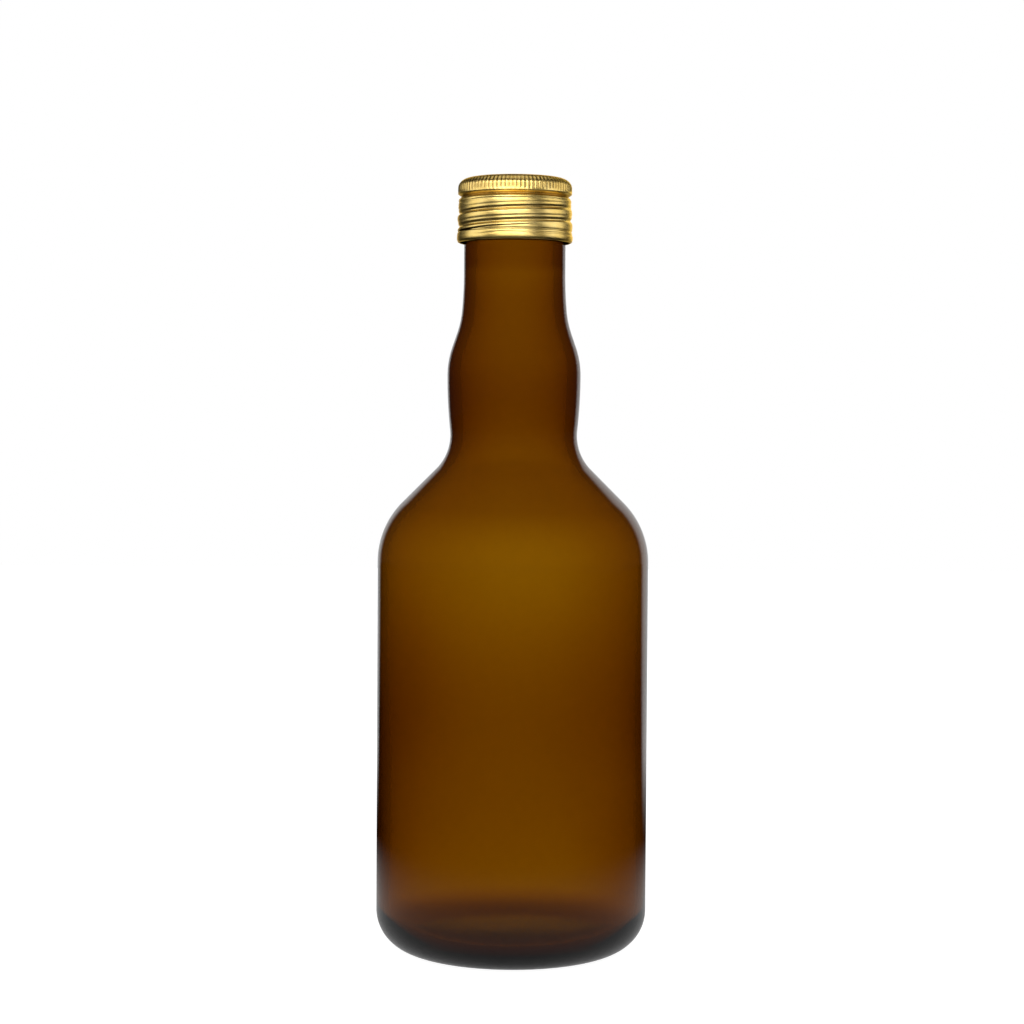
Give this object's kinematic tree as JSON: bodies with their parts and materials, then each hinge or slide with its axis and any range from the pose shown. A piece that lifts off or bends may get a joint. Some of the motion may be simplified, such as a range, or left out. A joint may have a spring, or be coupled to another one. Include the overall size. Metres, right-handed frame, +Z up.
{
  "type": "glass bottle",
  "caption": "Round amber glass bottle with a sloping shoulder, a bulged neck and a rolled metal screw cap with a sealing wad.",
  "frame": {"origin": "centre of the ring the bottle stands on, in the plane of the surface under it", "axes": "+Z up along the bottle's axis, -Y towards the front"},
  "size_m": [0.0678, 0.0678, 0.1931],
  "materials": {
    "amber_glass": "polished, with a soft moulded surface",
    "gold_aluminium": "gold lacquer over rolled sheet, finely brushed",
    "liner_film": "smooth film",
    "liner_foam": "fine closed-cell foam"
  },
  "bodies": {
    "bottle": {"glass_bottle": "amber_glass"},
    "wad": {"liner_backing_film": "liner_film", "liner_foam_core": "liner_foam", "liner_barrier_film": "liner_film"},
    "cap": {"cap_shell": "gold_aluminium"}
  },
  "joints": [
    {"name": "cap_lift", "type": "slide", "parent": "bottle", "child": "wad", "axis": [0, 0, 1], "range_m": [0, 0.02223]},
    {"name": "cap_turn", "type": "hinge", "parent": "wad", "child": "cap", "pos_m": [0, 0, 0.185], "axis": [0, 0, 1], "range_deg": [0, 2520]}
  ],
  "couplings": [
    {"joint": "cap_lift", "follows": "cap_turn", "m_per_rad": 0.00050532}
  ]
}
